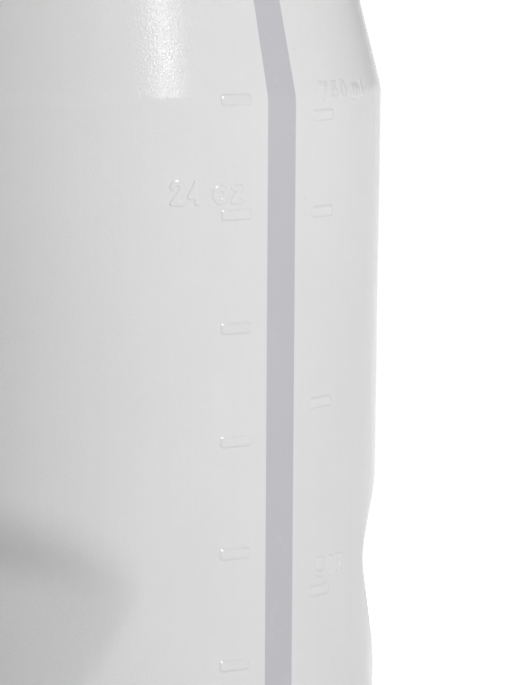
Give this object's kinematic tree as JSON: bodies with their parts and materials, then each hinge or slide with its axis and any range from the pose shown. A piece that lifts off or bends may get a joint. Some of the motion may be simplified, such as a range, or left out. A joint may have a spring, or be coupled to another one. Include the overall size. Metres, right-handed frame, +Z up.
{
  "type": "calf feeding bottle",
  "caption": "Round squeeze feeding bottle with grip dents, a sight strip and embossed scales, closed by a valved teat under a screw collar.",
  "frame": {"origin": "centre of the bottle's base, on the plane the foot ring rests on", "axes": "+Z up along the bottle's axis, sight strip towards +X, grip dents towards +Y and -Y"},
  "size_m": [0.0748, 0.0748, 0.3324],
  "materials": {
    "bottle_white": "satin blow-moulded polyethylene",
    "strip_grey": "satin, slightly translucent co-extruded polyethylene",
    "seal_rubber": "matt",
    "valve_plastic": "natural polypropylene",
    "sleeve_plastic": "blue polypropylene",
    "ball_plastic": "polished white acetal",
    "ball_steel": "polished stainless steel",
    "teat_rubber": "smooth red-brown moulded rubber",
    "collar_plastic": "fine-textured grey polypropylene"
  },
  "bodies": {
    "bottle": {"bottle_body": "bottle_white", "sight_strip": "strip_grey"},
    "closure": {"neck_gasket": "seal_rubber", "valve_body": "valve_plastic", "sleeve_o_ring": "seal_rubber", "ball_cage": "valve_plastic", "vent_retainer": "valve_plastic", "teat": "teat_rubber"},
    "collar": {"screw_collar": "collar_plastic"},
    "tap": {"flow_sleeve": "sleeve_plastic"},
    "milk_ball": {"valve_ball": "ball_plastic"},
    "air_ball": {"vent_ball": "ball_steel"}
  },
  "joints": [
    {"name": "closure_lift", "type": "slide", "parent": "bottle", "child": "closure", "axis": [0, 0, 1], "range_m": [0, 0.0076]},
    {"name": "collar_turn", "type": "hinge", "parent": "closure", "child": "collar", "pos_m": [0, 0, 0.24], "axis": [0, 0, 1], "range_deg": [0, 450]},
    {"name": "flow_turn", "type": "hinge", "parent": "closure", "child": "tap", "pos_m": [0, 0, 0.237], "axis": [0, 0, 1], "range_deg": [-60, 60]},
    {"name": "milk_ball_lift", "type": "slide", "parent": "closure", "child": "milk_ball", "axis": [0, 0, 1], "range_m": [0, 0.003]},
    {"name": "air_ball_lift", "type": "slide", "parent": "closure", "child": "air_ball", "axis": [0, 0, 1], "range_m": [0, 0.0012]}
  ],
  "couplings": [
    {"joint": "closure_lift", "follows": "collar_turn", "m_per_rad": 0.00095493}
  ]
}
